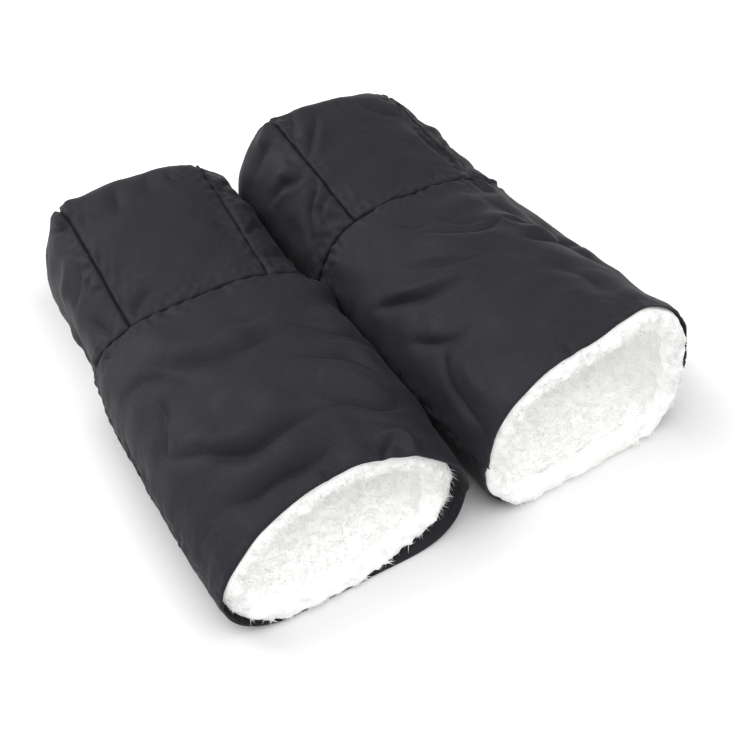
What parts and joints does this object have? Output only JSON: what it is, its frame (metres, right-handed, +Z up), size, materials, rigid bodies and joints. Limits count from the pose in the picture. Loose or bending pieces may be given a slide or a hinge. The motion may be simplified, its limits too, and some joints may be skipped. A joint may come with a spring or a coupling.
{
  "type": "stroller hand muff",
  "caption": "Pair of padded, fleece-lined hand muffs, each a wide tube with a gusseted hood and a snap flap that closes round a stroller handlebar.",
  "frame": {"origin": "on the floor, under the middle of the pair's bounding box", "axes": "+X across the pair from the left muff to the right one, +Y from the mouths to the caps, +Z up; the right muff is turned 2.4 degrees about +Z"},
  "size_m": [0.4056, 0.4018, 0.1424],
  "materials": {
    "shell_fabric": "woven, water repellent",
    "wadding": "loose polyester fill",
    "fleece": "deep pile",
    "stud_metal": "satin black"
  },
  "bodies": {
    "left_muff": {"left_body_upper_panel": "shell_fabric", "left_body_under_panel": "shell_fabric", "left_cap_top_panel": "shell_fabric", "left_cap_right_gusset": "shell_fabric", "left_cap_left_gusset": "shell_fabric", "left_body_upper_wadding": "wadding", "left_body_under_wadding": "wadding", "left_cap_wadding": "wadding", "left_body_upper_lining": "fleece", "left_body_under_lining": "fleece", "left_cap_lining": "fleece", "left_mouth_rim": "fleece", "left_body_stud_post_1": "stud_metal", "left_body_stud_post_2": "stud_metal", "left_body_stud_post_3": "stud_metal"},
    "left_flap": {"left_closure_flap": "shell_fabric", "left_closure_flap_lining": "fleece", "left_flap_stud_cap_1": "stud_metal", "left_flap_stud_cap_2": "stud_metal", "left_flap_stud_cap_3": "stud_metal", "left_flap_stud_socket_1": "stud_metal", "left_flap_stud_socket_2": "stud_metal", "left_flap_stud_socket_3": "stud_metal"},
    "right_muff": {"right_body_upper_panel": "shell_fabric", "right_body_under_panel": "shell_fabric", "right_cap_top_panel": "shell_fabric", "right_cap_right_gusset": "shell_fabric", "right_cap_left_gusset": "shell_fabric", "right_body_upper_wadding": "wadding", "right_body_under_wadding": "wadding", "right_cap_wadding": "wadding", "right_body_upper_lining": "fleece", "right_body_under_lining": "fleece", "right_cap_lining": "fleece", "right_mouth_rim": "fleece", "right_body_stud_post_1": "stud_metal", "right_body_stud_post_2": "stud_metal", "right_body_stud_post_3": "stud_metal"},
    "right_flap": {"right_closure_flap": "shell_fabric", "right_closure_flap_lining": "fleece", "right_flap_stud_cap_1": "stud_metal", "right_flap_stud_cap_2": "stud_metal", "right_flap_stud_cap_3": "stud_metal", "right_flap_stud_socket_1": "stud_metal", "right_flap_stud_socket_2": "stud_metal", "right_flap_stud_socket_3": "stud_metal"}
  },
  "joints": [
    {"name": "left_flap_hinge", "type": "hinge", "parent": "left_muff", "child": "left_flap", "pos_m": [-0.10048, 0.19406, 0.0105], "axis": [1, 0, 0], "range_deg": [0, 180]},
    {"name": "right_muff_slide", "type": "slide", "parent": "left_muff", "child": "right_muff", "axis": [1, 0, 0], "range_m": [0, 0.15]},
    {"name": "right_flap_hinge", "type": "hinge", "parent": "right_muff", "child": "right_flap", "pos_m": [0.09, 0.19372, 0.0105], "axis": [0.9991, 0.0418, 0], "range_deg": [0, 180]}
  ]
}
